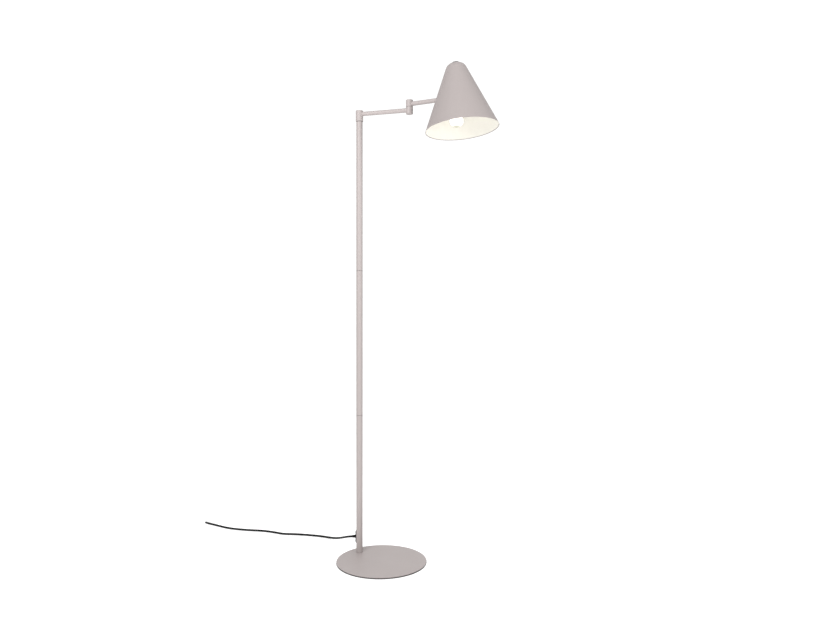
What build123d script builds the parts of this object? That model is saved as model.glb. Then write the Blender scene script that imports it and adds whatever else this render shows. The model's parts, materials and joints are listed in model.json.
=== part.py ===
from build123d import *
from math import acos, atan2, cos, degrees, hypot, radians, sin, tan
import os

# A standing reading lamp. Millimetres. The origin is the centre of the base's underside, +Z is up,
# and +X runs from the pole across the base, the way the arms reach.

# ---------------------------------------------------------------- driving dimensions
base_diameter = 248.0
base_plate_thickness = 3.6
floor_pad_thickness = 0.6
floor_pad_inset = 2.0
pole_to_base_centre = 93.0

pole_diameter = 18.0
pole_wall = 1.2
pole_edge_break = 0.5
lower_pole_length = 390.0
middle_pole_length = 411.0
upper_pole_length = 424.0
joiner_length = 60.0
foot_plug_length = 18.0
pole_screw_diameter = 8.0
pole_screw_head_diameter = 15.0
pole_screw_grip = 14.0

cap_diameter = 21.0
cap_height = 31.0
cap_top_to_arm = 9.2
hub_diameter = 19.6
hub_height = 19.2
arm_to_joint_face = 8.15
hub_chamber_diameter = 14.8
edge_break = 0.3
lid_thickness = 2.0
spindle_root_length = 25.0
spindle_diameter = 9.9
spindle_thread_diameter = 8.0
spindle_wire_bore = 5.0
nut_across_flats = 11.4
nut_height = 3.2
washer_thickness = 0.6

arm_diameter = 12.0
arm_wall = 1.0
first_arm_length = 148.0
second_arm_length = 141.0
first_arm_azimuth = 29.3
second_arm_azimuth = 19.7

shade_opening_diameter = 200.0
shade_height = 181.0
shade_top_flat_diameter = 14.0
shade_shoulder_radius = 23.3
shade_wall = 0.8
shade_tilt = 6.1
shade_tilt_inward_limit = -11.9
shade_tilt_outward_limit = 24.1
pivot_below_shade_top = 26.0
pivot_above_arm = 66.8
arm_slot_side_gap = 2.0
arm_slot_end_gap = 3.5

stem_diameter = 10.0
stem_wall = 1.5
lamp_hub_diameter = 18.0
lamp_hub_height = 17.0
tilt_eye_width = 16.0
tilt_eye_radius = 6.5
tilt_pin_diameter = 5.0
tilt_pin_head_diameter = 9.0
tilt_pin_head_height = 2.4
tilt_washer_diameter = 12.0
tilt_washer_thickness = 1.0
yoke_thickness = 1.8
yoke_ear_width = 12.0
yoke_boss_height = 1.4

switch_bezel_diameter = 22.0
switch_bezel_height = 1.8
switch_neck_diameter = 11.6
switch_body_diameter = 14.6
switch_body_length = 8.0
ring_nut_across_flats = 14.4
ring_nut_height = 2.4
button_diameter = 9.0
button_proud = 1.6
button_length = 5.0
button_travel = 1.5

lampholder_diameter = 27.0
lampholder_length = 34.0
lampholder_rounding = 4.0
lampholder_neck_diameter = 10.0
lampholder_neck_length = 4.0
bulb_diameter = 35.0
bulb_neck_diameter = 21.0
bulb_below_holder = 34.6
bulb_cap_diameter = 13.8
bulb_cap_length = 22.0
bulb_cap_rounding = 2.0
bulb_neck_flare = 0.35

gland_height = 37.0
gland_width = 10.0
gland_proud = 3.5
gland_centre_height = 42.0
gland_neck_gap = 1.5
cord_diameter = 6.0
cord_floor_gap = 0.1
strain_relief_length = 20.0
strain_relief_root_diameter = 9.0
strain_relief_tip_diameter = 7.0
flex_diameter = 4.4

coil_mean_diameter = 62.0
coil_centre = (-742.0, -130.0)
coil_layers = 3
coil_columns = 2
coil_lift = 1.4
coil_tie_thickness = 1.2
coil_tie_angle = 14.0
coil_tie_azimuth = 20.0
plug_width = 34.0
plug_tail_width = 15.0
plug_thickness = 13.6
plug_length = 36.0
plug_flank_length = 12.0
plug_corner_radius = 4.0
plug_rounding = 2.0
plug_tail_sleeve_length = 20.0
plug_sleeve_step = 1.0
plug_pin_diameter = 4.0
plug_pin_length = 19.0
plug_pin_spacing = 19.0
plug_pin_rounding = 1.2

# ---------------------------------------------------------------- fits
running_clearance = 0.05
bore_clearance = 0.1
turning_gap = 0.3

# ---------------------------------------------------------------- places worked out from them
pole_radius = pole_diameter / 2
pole_bore_radius = pole_radius - pole_wall
arm_radius = arm_diameter / 2
cap_radius = cap_diameter / 2
hub_radius = hub_diameter / 2
chamber_radius = hub_chamber_diameter / 2
spindle_radius = spindle_diameter / 2
cord_radius = cord_diameter / 2

base_top = floor_pad_thickness + base_plate_thickness
pole_x = -pole_to_base_centre
lower_joint = base_top + lower_pole_length
upper_joint = lower_joint + middle_pole_length
pole_top = upper_joint + upper_pole_length
cap_top = pole_top + cap_height
first_arm_height = cap_top - cap_top_to_arm
lower_hub_top = first_arm_height + arm_to_joint_face
lower_hub_bottom = lower_hub_top - hub_height
upper_hub_bottom = lower_hub_top + washer_thickness
upper_hub_top = upper_hub_bottom + hub_height
second_arm_height = upper_hub_bottom + arm_to_joint_face
arm_bore_roof = arm_radius + turning_gap
hub_wall_thickness = arm_to_joint_face - arm_bore_roof
arm_end_setback = chamber_radius + bore_clearance


def away(start, azimuth, distance):
    """The point at a distance from start, at an angle from +X."""
    return (start[0] + distance * cos(radians(azimuth)), start[1] + distance * sin(radians(azimuth)))


pole_axis = (pole_x, 0.0)
elbow_axis = away(pole_axis, first_arm_azimuth, first_arm_length)
stem_axis = away(elbow_axis, second_arm_azimuth, second_arm_length)
pivot_height = second_arm_height + pivot_above_arm


def upright(axis, height):
    """A horizontal plane at a height, centred on a vertical axis."""
    return Plane(origin=(axis[0], axis[1], height))


def arm_frame(axis, height, azimuth):
    """The frame of an arm: its origin on the joint axis, and +X along the arm."""
    along = (cos(radians(azimuth)), sin(radians(azimuth)), 0)
    return Plane(origin=(axis[0], axis[1], height), x_dir=along, z_dir=(0, 0, 1))


def across(frame, distance):
    """The plane square to a frame's +X, at a distance along it."""
    return Plane(origin=frame.origin + frame.x_dir * distance, x_dir=frame.y_dir, z_dir=frame.x_dir)


def profile(frame):
    """The plane of a frame's X and Z, for turned profiles."""
    return Plane(origin=frame.origin, x_dir=frame.x_dir, z_dir=-frame.y_dir)


def turning_axis(frame):
    """A frame's own Z, as an axis."""
    return Axis(frame.origin, frame.z_dir)


def save(piece, name):
    """Labels a finished sub-part and writes it as a STEP file."""
    piece.part.label = name
    export_step(piece.part, f"parts/{name}.step")


first_arm_frame = arm_frame(pole_axis, first_arm_height, first_arm_azimuth)
second_arm_frame = arm_frame(elbow_axis, second_arm_height, second_arm_azimuth)
pivot_frame = arm_frame(stem_axis, pivot_height, second_arm_azimuth)
shade_frame = Plane(
    origin=pivot_frame.origin,
    x_dir=pivot_frame.x_dir * cos(radians(shade_tilt)) + Vector(0, 0, sin(radians(shade_tilt))),
    z_dir=Vector(0, 0, cos(radians(shade_tilt))) - pivot_frame.x_dir * sin(radians(shade_tilt)),
)

os.makedirs("parts", exist_ok=True)

# ---------------------------------------------------------------- base
with BuildPart() as floor_pad:
    with BuildSketch():
        Circle(base_diameter / 2 - floor_pad_inset)
    extrude(amount=floor_pad_thickness)
save(floor_pad, "floor_pad")

screw_head_radius = pole_screw_head_diameter / 2
screw_radius = pole_screw_diameter / 2
screw_head_height = screw_head_radius - screw_radius

with BuildPart() as pole_screw:
    with BuildSketch(profile(upright(pole_axis, floor_pad_thickness))):
        with BuildLine():
            Polyline(
                (0, 0),
                (screw_head_radius, 0),
                (screw_radius, screw_head_height),
                (screw_radius, base_plate_thickness + pole_screw_grip),
                (0, base_plate_thickness + pole_screw_grip),
                close=True,
            )
        make_face()
    revolve(axis=turning_axis(upright(pole_axis, floor_pad_thickness)))
save(pole_screw, "pole_screw")

with BuildPart() as base_plate:
    with BuildSketch(Plane.XY.offset(floor_pad_thickness)):
        Circle(base_diameter / 2)
    extrude(amount=base_plate_thickness)
    fillet(base_plate.edges().group_by(Axis.Z)[-1], base_plate_thickness / 5)
    fillet(base_plate.edges().group_by(Axis.Z)[0], base_plate_thickness / 10)
    add(pole_screw.part, mode=Mode.SUBTRACT)
save(base_plate, "base_plate")

# ---------------------------------------------------------------- pole
with BuildPart() as foot_plug:
    with BuildSketch(upright(pole_axis, base_top)):
        Circle(pole_bore_radius)
        Circle(screw_radius, mode=Mode.SUBTRACT)
    extrude(amount=foot_plug_length)
save(foot_plug, "foot_plug")

gland_z = base_top + gland_centre_height
gland_frame = Plane(origin=(pole_x, 0, gland_z), x_dir=(0, -1, 0), z_dir=(-1, 0, 0))
gland_face_radius = pole_radius + gland_proud

with BuildPart() as gland_neck:
    with BuildSketch(gland_frame.offset(pole_bore_radius - gland_neck_gap)):
        SlotOverall(gland_height - 2 * gland_neck_gap, gland_width - 2 * gland_neck_gap, rotation=90)
    extrude(amount=gland_face_radius - pole_bore_radius)

with BuildPart() as cord_gland:
    with BuildSketch(gland_frame):
        SlotOverall(gland_height, gland_width, rotation=90)
    extrude(amount=gland_face_radius)
    fillet(cord_gland.faces().sort_by(turning_axis(gland_frame))[-1].edges(), gland_proud / 4)
    with BuildSketch(upright(pole_axis, gland_z - gland_height)):
        Circle(pole_radius)
    extrude(amount=2 * gland_height, mode=Mode.SUBTRACT)
    add(gland_neck.part)
    with BuildSketch(gland_frame):
        Circle(cord_radius)
    extrude(amount=gland_face_radius, mode=Mode.SUBTRACT)
save(cord_gland, "cord_gland")


def pole_section(bottom, length):
    """A length of pole tube, its outer edges broken so that a seam shows where two meet."""
    with BuildPart() as section:
        with BuildSketch(upright(pole_axis, bottom)):
            Circle(pole_radius)
            Circle(pole_bore_radius, mode=Mode.SUBTRACT)
        extrude(amount=length)
        chamfer(section.edges().filter_by(GeomType.CIRCLE).group_by(SortBy.RADIUS)[-1], pole_edge_break)
    return section


with BuildPart() as lower_pole:
    add(pole_section(base_top, lower_pole_length).part)
    add(gland_neck.part, mode=Mode.SUBTRACT)
save(lower_pole, "lower_pole")

middle_pole = pole_section(lower_joint, middle_pole_length)
save(middle_pole, "middle_pole")

upper_pole = pole_section(upper_joint, upper_pole_length)
save(upper_pole, "upper_pole")

for joiner_name, joint_height in (("lower_joiner", lower_joint), ("upper_joiner", upper_joint)):
    with BuildPart() as joiner:
        with BuildSketch(upright(pole_axis, joint_height - joiner_length / 2)):
            Circle(pole_bore_radius)
            Circle(pole_bore_radius / 2, mode=Mode.SUBTRACT)
        extrude(amount=joiner_length)
    save(joiner, joiner_name)

# ---------------------------------------------------------------- swivel on the pole's top
cap_floor_top = first_arm_height - arm_radius - nut_height - 2 * turning_gap

with BuildPart() as swivel_spindle:
    with BuildSketch(upright(pole_axis, pole_top - spindle_root_length)):
        Circle(pole_bore_radius)
    extrude(amount=spindle_root_length)
    with BuildSketch(upright(pole_axis, pole_top)):
        Circle(spindle_radius)
    extrude(amount=cap_floor_top - pole_top)
    with BuildSketch(upright(pole_axis, cap_floor_top)):
        Circle(spindle_thread_diameter / 2)
    extrude(amount=nut_height + 2 * turning_gap)
    with BuildSketch(upright(pole_axis, pole_top - spindle_root_length)):
        Circle(spindle_wire_bore / 2)
    extrude(amount=2 * (spindle_root_length + cap_height), mode=Mode.SUBTRACT)
save(swivel_spindle, "swivel_spindle")

with BuildPart() as swivel_washer:
    with BuildSketch(upright(pole_axis, pole_top)):
        Circle(pole_radius)
        Circle(spindle_radius, mode=Mode.SUBTRACT)
    extrude(amount=washer_thickness - running_clearance)
save(swivel_washer, "swivel_washer")


def spindle_nut(axis, bottom):
    """A thin hexagonal nut on a spindle's thread."""
    with BuildPart() as nut:
        with BuildSketch(upright(axis, bottom)):
            RegularPolygon(nut_across_flats / 2, 6, major_radius=False)
            Circle(spindle_thread_diameter / 2, mode=Mode.SUBTRACT)
        extrude(amount=nut_height)
    return nut


swivel_nut = spindle_nut(pole_axis, cap_floor_top + turning_gap)
save(swivel_nut, "swivel_nut")

with BuildPart() as pole_cap:
    with BuildSketch(upright(pole_axis, pole_top + washer_thickness)):
        Circle(cap_radius)
    extrude(amount=cap_height - washer_thickness)
    chamfer(pole_cap.edges().group_by(Axis.Z)[-1] + pole_cap.edges().group_by(Axis.Z)[0], edge_break)
    with BuildSketch(upright(pole_axis, cap_floor_top)):
        Circle(chamber_radius)
    extrude(amount=cap_top - cap_floor_top, mode=Mode.SUBTRACT)
    with BuildSketch(upright(pole_axis, pole_top)):
        Circle(spindle_radius + running_clearance)
    extrude(amount=cap_height, mode=Mode.SUBTRACT)
    with BuildSketch(across(first_arm_frame, 0)):
        Circle(arm_radius)
    extrude(amount=cap_diameter, mode=Mode.SUBTRACT)
save(pole_cap, "pole_cap")


def lid(axis, bottom):
    """A disc pressed into the mouth of a hub's chamber."""
    with BuildPart() as disc:
        with BuildSketch(upright(axis, bottom)):
            Circle(chamber_radius)
        extrude(amount=lid_thickness)
    return disc


cap_lid = lid(pole_axis, cap_top - lid_thickness)
save(cap_lid, "cap_lid")


def arm_tube(frame, length, end_setback):
    """An arm's tube, from one hub's chamber to the next."""
    with BuildPart() as tube:
        with BuildSketch(across(frame, arm_end_setback)):
            Circle(arm_radius)
            Circle(arm_radius - arm_wall, mode=Mode.SUBTRACT)
        extrude(amount=length - arm_end_setback - end_setback)
    return tube


first_arm_tube = arm_tube(first_arm_frame, first_arm_length, arm_end_setback)
save(first_arm_tube, "first_arm_tube")

# ---------------------------------------------------------------- elbow
lower_chamber_top = first_arm_height + arm_bore_roof
upper_chamber_bottom = upper_hub_bottom + hub_wall_thickness

with BuildPart() as lower_hub:
    with BuildSketch(upright(elbow_axis, lower_hub_bottom)):
        Circle(hub_radius)
    extrude(amount=hub_height)
    chamfer(lower_hub.edges().group_by(Axis.Z)[-1] + lower_hub.edges().group_by(Axis.Z)[0], edge_break)
    with BuildSketch(upright(elbow_axis, lower_hub_bottom)):
        Circle(chamber_radius)
    extrude(amount=lower_chamber_top - lower_hub_bottom, mode=Mode.SUBTRACT)
    with BuildSketch(upright(elbow_axis, lower_hub_bottom)):
        Circle(spindle_radius)
    extrude(amount=hub_height, mode=Mode.SUBTRACT)
    with BuildSketch(across(first_arm_frame, first_arm_length)):
        Circle(arm_radius)
    extrude(amount=-hub_diameter, mode=Mode.SUBTRACT)
save(lower_hub, "lower_hub")

lower_hub_lid = lid(elbow_axis, lower_hub_bottom)
save(lower_hub_lid, "lower_hub_lid")

with BuildPart() as elbow_spindle:
    with BuildSketch(upright(elbow_axis, lower_chamber_top - washer_thickness)):
        Circle(nut_across_flats / 2)
    extrude(amount=washer_thickness)
    with BuildSketch(upright(elbow_axis, lower_chamber_top)):
        Circle(spindle_radius)
    extrude(amount=upper_chamber_bottom - lower_chamber_top)
    with BuildSketch(upright(elbow_axis, upper_chamber_bottom)):
        Circle(spindle_thread_diameter / 2)
    extrude(amount=nut_height + 2 * turning_gap)
    with BuildSketch(upright(elbow_axis, lower_hub_bottom)):
        Circle(spindle_wire_bore / 2)
    extrude(amount=2 * hub_height, mode=Mode.SUBTRACT)
save(elbow_spindle, "elbow_spindle")

with BuildPart() as elbow_washer:
    with BuildSketch(upright(elbow_axis, lower_hub_top)):
        Circle(hub_radius - washer_thickness)
        Circle(spindle_radius, mode=Mode.SUBTRACT)
    extrude(amount=washer_thickness - running_clearance)
save(elbow_washer, "elbow_washer")

elbow_nut = spindle_nut(elbow_axis, upper_chamber_bottom + turning_gap)
save(elbow_nut, "elbow_nut")

with BuildPart() as upper_hub:
    with BuildSketch(upright(elbow_axis, upper_hub_bottom)):
        Circle(hub_radius)
    extrude(amount=hub_height)
    chamfer(upper_hub.edges().group_by(Axis.Z)[-1] + upper_hub.edges().group_by(Axis.Z)[0], edge_break)
    with BuildSketch(upright(elbow_axis, upper_chamber_bottom)):
        Circle(chamber_radius)
    extrude(amount=hub_height, mode=Mode.SUBTRACT)
    with BuildSketch(upright(elbow_axis, upper_hub_bottom)):
        Circle(spindle_radius + running_clearance)
    extrude(amount=hub_height, mode=Mode.SUBTRACT)
    with BuildSketch(across(second_arm_frame, 0)):
        Circle(arm_radius)
    extrude(amount=hub_diameter, mode=Mode.SUBTRACT)
save(upper_hub, "upper_hub")

upper_hub_lid = lid(elbow_axis, upper_hub_top - lid_thickness)
save(upper_hub_lid, "upper_hub_lid")

# ---------------------------------------------------------------- second arm, stem and lampholder
stem_radius = stem_diameter / 2
lamp_hub_bottom = second_arm_height - lamp_hub_height / 2
lamp_hub_top = second_arm_height + lamp_hub_height / 2
stem_seat = second_arm_height + arm_bore_roof
neck_radius = lampholder_neck_diameter / 2

second_arm_tube = arm_tube(second_arm_frame, second_arm_length, stem_radius)
save(second_arm_tube, "second_arm_tube")

with BuildPart() as lamp_hub:
    with BuildSketch(upright(stem_axis, lamp_hub_bottom)):
        Circle(lamp_hub_diameter / 2)
    extrude(amount=lamp_hub_height)
    chamfer(lamp_hub.edges().group_by(Axis.Z)[-1] + lamp_hub.edges().group_by(Axis.Z)[0], edge_break)
    with BuildSketch(upright(stem_axis, stem_seat)):
        Circle(stem_radius)
    extrude(amount=lamp_hub_height, mode=Mode.SUBTRACT)
    with BuildSketch(upright(stem_axis, lamp_hub_bottom)):
        Circle(stem_radius - stem_wall)
    extrude(amount=lamp_hub_height, mode=Mode.SUBTRACT)
    with BuildSketch(across(second_arm_frame, second_arm_length)):
        Circle(arm_radius)
    extrude(amount=-lamp_hub_diameter, mode=Mode.SUBTRACT)
save(lamp_hub, "lamp_hub")

with BuildPart() as stem_tube:
    with BuildSketch(upright(stem_axis, stem_seat)):
        Circle(stem_radius)
        Circle(stem_radius - stem_wall, mode=Mode.SUBTRACT)
    extrude(amount=pivot_height - tilt_eye_radius - stem_seat)
save(stem_tube, "stem_tube")

pin_radius = tilt_pin_diameter / 2
pin_plane = profile(pivot_frame)

with BuildPart() as tilt_eye:
    with BuildSketch(pin_plane.offset(-tilt_eye_width / 2)):
        Circle(tilt_eye_radius)
        with Locations((0, -tilt_eye_radius / 2)):
            Rectangle(2 * tilt_eye_radius, tilt_eye_radius)
        Circle(pin_radius + running_clearance, mode=Mode.SUBTRACT)
    extrude(amount=tilt_eye_width)
save(tilt_eye, "tilt_eye")

washer_inner_face = tilt_eye_width / 2
washer_outer_face = washer_inner_face + tilt_washer_thickness
for washer_name, side in (("tilt_washer_left", 1), ("tilt_washer_right", -1)):
    with BuildPart() as tilt_washer:
        with BuildSketch(pin_plane.offset(side * washer_inner_face)):
            Circle(tilt_washer_diameter / 2)
            Circle(pin_radius + running_clearance, mode=Mode.SUBTRACT)
        extrude(amount=side * (tilt_washer_thickness - bore_clearance))
    save(tilt_washer, washer_name)

holder_top = lamp_hub_bottom - lampholder_neck_length
holder_bottom = holder_top - lampholder_length
bulb_cap_radius = bulb_cap_diameter / 2

with BuildPart() as bulb_cap:
    with BuildSketch(upright(stem_axis, holder_bottom)):
        Circle(bulb_cap_radius)
    extrude(amount=bulb_cap_length)
    fillet(bulb_cap.edges().group_by(Axis.Z)[-1], bulb_cap_rounding)
save(bulb_cap, "bulb_cap")

with BuildPart() as lampholder:
    with BuildSketch(upright(stem_axis, holder_bottom)):
        Circle(lampholder_diameter / 2)
    extrude(amount=lampholder_length)
    fillet(lampholder.edges().group_by(Axis.Z)[-1], lampholder_rounding)
    with BuildSketch(upright(stem_axis, holder_bottom)):
        Circle(bulb_cap_radius)
    extrude(amount=bulb_cap_length, mode=Mode.SUBTRACT)
    with BuildSketch(upright(stem_axis, holder_top)):
        Circle(neck_radius)
    extrude(amount=lampholder_neck_length)
save(lampholder, "lampholder")

bulb_radius = bulb_diameter / 2
bulb_neck_radius = bulb_neck_diameter / 2
bulb_widest = bulb_radius - bulb_below_holder
with BuildPart() as bulb_glass:
    with BuildSketch(profile(upright(stem_axis, holder_bottom))):
        with BuildLine():
            bulb_dome = CenterArc((0, bulb_widest), bulb_radius, -90, 90)
            bulb_shoulder = Spline(
                (bulb_radius, bulb_widest),
                (bulb_neck_radius, 0),
                tangents=((0, 1), (-bulb_neck_flare, 1)),
            )
            Polyline(bulb_shoulder @ 1, (0, 0), bulb_dome @ 0)
        make_face()
    revolve(axis=turning_axis(upright(stem_axis, holder_bottom)))
save(bulb_glass, "bulb_glass")

# ---------------------------------------------------------------- shade
# Its profile is drawn from the tilt pivot, with Y up the shade's own axis.
shade_top = pivot_below_shade_top
shade_bottom = shade_top - shade_height
opening_radius = shade_opening_diameter / 2
flat_radius = shade_top_flat_diameter / 2
shoulder_centre_height = shade_top - shade_shoulder_radius
rim_out = opening_radius - flat_radius
rim_down = shoulder_centre_height - shade_bottom
wall_slope = degrees(acos(shade_shoulder_radius / hypot(rim_out, rim_down)) - atan2(rim_down, rim_out))


def on_shoulder(radius):
    """Where a shoulder arc of this radius runs into the straight wall."""
    return (
        flat_radius + radius * cos(radians(wall_slope)),
        shoulder_centre_height + radius * sin(radians(wall_slope)),
    )


inner_shoulder_radius = shade_shoulder_radius - shade_wall
inner_rim = (
    opening_radius - shade_wall * cos(radians(wall_slope)),
    shade_bottom - shade_wall * sin(radians(wall_slope)),
)

# How far below the pivot, along the shade's axis, the second arm goes through the wall.
wall_radius_at_pivot = opening_radius + shade_bottom * tan(radians(wall_slope))


def arm_drop_in_wall(tilt):
    """The arm's distance below the pivot where it crosses the shade's wall, at a tilt from upright."""
    lean, slope = radians(tilt), tan(radians(wall_slope))
    reach = wall_radius_at_pivot + pivot_above_arm * (slope * cos(lean) - sin(lean))
    reach = reach / (cos(lean) + slope * sin(lean))
    return pivot_above_arm * cos(lean) - reach * sin(lean)


slot_width = arm_diameter + 2 * arm_slot_side_gap
slot_top = arm_drop_in_wall(shade_tilt_outward_limit) - arm_radius - arm_slot_end_gap
slot_bottom = arm_drop_in_wall(shade_tilt_inward_limit) + arm_radius + arm_slot_end_gap
slot_plane = Plane(origin=shade_frame.origin, x_dir=shade_frame.y_dir, z_dir=-shade_frame.x_dir)

switch_neck_radius = switch_neck_diameter / 2
with BuildPart() as shade_shell:
    with BuildSketch(profile(shade_frame)):
        with BuildLine():
            Line((0, shade_top), (flat_radius, shade_top))
            CenterArc(
                (flat_radius, shoulder_centre_height), shade_shoulder_radius, wall_slope, 90 - wall_slope
            )
            Line(on_shoulder(shade_shoulder_radius), (opening_radius, shade_bottom))
            Line((opening_radius, shade_bottom), inner_rim)
            Line(inner_rim, on_shoulder(inner_shoulder_radius))
            CenterArc(
                (flat_radius, shoulder_centre_height), inner_shoulder_radius, wall_slope, 90 - wall_slope
            )
            Polyline(
                (flat_radius, shade_top - shade_wall),
                (0, shade_top - shade_wall),
                (0, shade_top),
            )
        make_face()
    revolve(axis=turning_axis(shade_frame))
    with BuildSketch(shade_frame):
        Circle(switch_neck_radius)
    extrude(amount=shade_top, mode=Mode.SUBTRACT)
    with BuildSketch(slot_plane):
        with Locations((0, (slot_top + slot_bottom) / 2)):
            SlotOverall(slot_bottom - slot_top, slot_width, rotation=90)
    extrude(amount=opening_radius, mode=Mode.SUBTRACT)
save(shade_shell, "shade_shell")

# ---------------------------------------------------------------- yoke that hangs the shade on the pivot
shade_pin_plane = profile(shade_frame)
ear_inner_face = washer_outer_face
ear_outer_face = ear_inner_face + yoke_thickness
boss_top = shade_top - shade_wall
bridge_top = boss_top - yoke_boss_height
bridge_bottom = bridge_top - yoke_thickness

with BuildPart() as shade_yoke:
    with BuildSketch(shade_frame.offset(bridge_top)):
        Circle(flat_radius)
    extrude(amount=yoke_boss_height)
    with BuildSketch(shade_frame.offset(bridge_bottom)):
        Rectangle(yoke_ear_width, 2 * ear_outer_face)
    extrude(amount=yoke_thickness)
    for side in (1, -1):
        with BuildSketch(shade_pin_plane.offset(side * ear_inner_face)):
            with Locations((0, bridge_bottom / 2)):
                Rectangle(yoke_ear_width, bridge_bottom)
            Circle(yoke_ear_width / 2)
            Circle(pin_radius, mode=Mode.SUBTRACT)
        extrude(amount=side * yoke_thickness)
    with BuildSketch(shade_frame):
        Circle(switch_neck_radius)
    extrude(amount=shade_top, mode=Mode.SUBTRACT)
save(shade_yoke, "shade_yoke")

with BuildPart() as tilt_pin:
    with BuildSketch(shade_pin_plane.offset(-ear_outer_face - tilt_pin_head_height)):
        Circle(tilt_pin_head_diameter / 2)
    extrude(amount=tilt_pin_head_height)
    with BuildSketch(shade_pin_plane.offset(-ear_outer_face)):
        Circle(pin_radius)
    extrude(amount=2 * ear_outer_face + tilt_pin_head_height)
save(tilt_pin, "tilt_pin")

with BuildPart() as tilt_nut:
    with BuildSketch(shade_pin_plane.offset(ear_outer_face)):
        RegularPolygon(tilt_pin_head_diameter / 2, 6)
        Circle(pin_radius, mode=Mode.SUBTRACT)
    extrude(amount=tilt_pin_head_height)
save(tilt_nut, "tilt_nut")

# ---------------------------------------------------------------- push switch through the shade's top
ring_nut_bottom = bridge_bottom - ring_nut_height
switch_body_bottom = ring_nut_bottom - switch_body_length
bezel_radius = switch_bezel_diameter / 2
button_radius = button_diameter / 2
bezel_top = shade_top + switch_bezel_height
button_bottom = bezel_top + button_proud - button_length
button_well = button_bottom - button_travel - turning_gap

with BuildPart() as switch_housing:
    with BuildSketch(shade_frame.offset(shade_top)):
        Circle(bezel_radius)
    extrude(amount=switch_bezel_height)
    fillet(switch_housing.faces().sort_by(turning_axis(shade_frame))[-1].edges(), switch_bezel_height / 2)
    with BuildSketch(shade_frame.offset(ring_nut_bottom)):
        Circle(switch_neck_radius)
    extrude(amount=shade_top - ring_nut_bottom)
    with BuildSketch(shade_frame.offset(switch_body_bottom)):
        Circle(switch_body_diameter / 2)
    extrude(amount=switch_body_length)
    with BuildSketch(shade_frame.offset(button_well)):
        Circle(button_radius + running_clearance)
    extrude(amount=bezel_top - button_well, mode=Mode.SUBTRACT)
save(switch_housing, "switch_housing")

with BuildPart() as switch_ring_nut:
    with BuildSketch(shade_frame.offset(ring_nut_bottom)):
        RegularPolygon(ring_nut_across_flats / 2, 6, major_radius=False)
        Circle(switch_neck_radius, mode=Mode.SUBTRACT)
    extrude(amount=ring_nut_height)
save(switch_ring_nut, "switch_ring_nut")

with BuildPart() as switch_button:
    with BuildSketch(shade_frame.offset(button_bottom)):
        Circle(button_radius)
    extrude(amount=button_length)
    fillet(switch_button.faces().sort_by(turning_axis(shade_frame))[-1].edges(), button_proud / 2)
save(switch_button, "switch_button")

# ---------------------------------------------------------------- flex inside the tubes
flex_radius = flex_diameter / 2

with BuildPart() as pole_flex:
    with BuildSketch(upright(pole_axis, gland_z)):
        Circle(flex_radius)
    extrude(amount=cap_floor_top + nut_height - gland_z)
save(pole_flex, "pole_flex")


def arm_flex(frame, length):
    """The flex in an arm, laid along the tube's centre between its end chambers."""
    with BuildPart() as flex:
        with BuildSketch(across(frame, arm_end_setback)):
            Circle(flex_radius)
        extrude(amount=length - 2 * arm_end_setback)
    return flex


first_arm_flex = arm_flex(first_arm_frame, first_arm_length)
save(first_arm_flex, "first_arm_flex")

second_arm_flex = arm_flex(second_arm_frame, second_arm_length)
save(second_arm_flex, "second_arm_flex")

# ---------------------------------------------------------------- mains lead on the floor
gland_face_x = pole_x - gland_face_radius
cord_height = cord_radius + cord_floor_gap
plug_height = plug_thickness / 2 + cord_floor_gap

coil_half_height = coil_layers * cord_diameter / 2
coil_half_width = coil_columns * cord_diameter / 2
coil_mean_radius = coil_mean_diameter / 2
coil_outer_run = coil_mean_radius + coil_half_width - cord_radius
coil_first_height = coil_lift + cord_radius
coil_last_height = coil_first_height + (coil_layers - 1) * cord_diameter

# The lead's route: out of the gland, down to the floor, and along it to the coil's outer turn.
cord_route = [
    (gland_face_x, 0.0, gland_z),
    (-142.0, 0.6, 37.0),
    (-177.0, 5.0, 24.0),
    (-213.0, 13.0, 12.0),
    (-247.0, 19.0, 4.0),
    (-283.0, 8.0, cord_height),
    (-318.0, -12.0, cord_height),
    (-355.0, -37.0, cord_height),
    (-380.0, -61.0, cord_height),
    (-414.0, -71.5, cord_height),
    (-450.0, -87.0, cord_height),
    (-494.0, -121.0, cord_height),
    (-549.0, -152.0, cord_height),
    (-606.0, -163.5, cord_height),
    (-655.0, -176.0, cord_height),
    (-702.0, -170.0, (cord_height + coil_first_height) / 2),
    (coil_centre[0], coil_centre[1] - coil_outer_run, coil_first_height),
]

# From the coil's last turn, on top, down to the plug.
tail_route = [
    (coil_centre[0] - coil_outer_run, coil_centre[1], coil_last_height),
    (coil_centre[0] - coil_outer_run - 0.3, coil_centre[1] + 20.0, coil_last_height - 2.0),
    (coil_centre[0] - coil_outer_run + 2.0, coil_centre[1] + 44.0, plug_height),
    (coil_centre[0] - coil_outer_run + 2.0, coil_centre[1] + 66.0, plug_height),
]


def route_radii(points):
    """Each corner's arc radius: 0.45 of its shorter run over the tangent of half its turn."""
    radii = []
    for before, corner, after in zip(points, points[1:], points[2:]):
        arriving, leaving = Vector(*corner) - Vector(*before), Vector(*after) - Vector(*corner)
        turn = radians(arriving.get_angle(leaving))
        radii.append(0.45 * min(arriving.length, leaving.length) / tan(turn / 2))
    return radii


def cord_path(points):
    """A cord's centre line: straight runs joined by tangent arcs."""
    with BuildLine() as line:
        FilletPolyline(*points, radius=route_radii(points))
    return line.wires()[0]


mains_path = cord_path(cord_route)
tail_path = cord_path(tail_route)
gland_face = Plane(origin=cord_route[0], x_dir=(0, -1, 0), z_dir=(-1, 0, 0))
relief_frame = Plane(origin=cord_route[0], x_dir=(0, -1, 0), z_dir=mains_path % 0)

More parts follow.
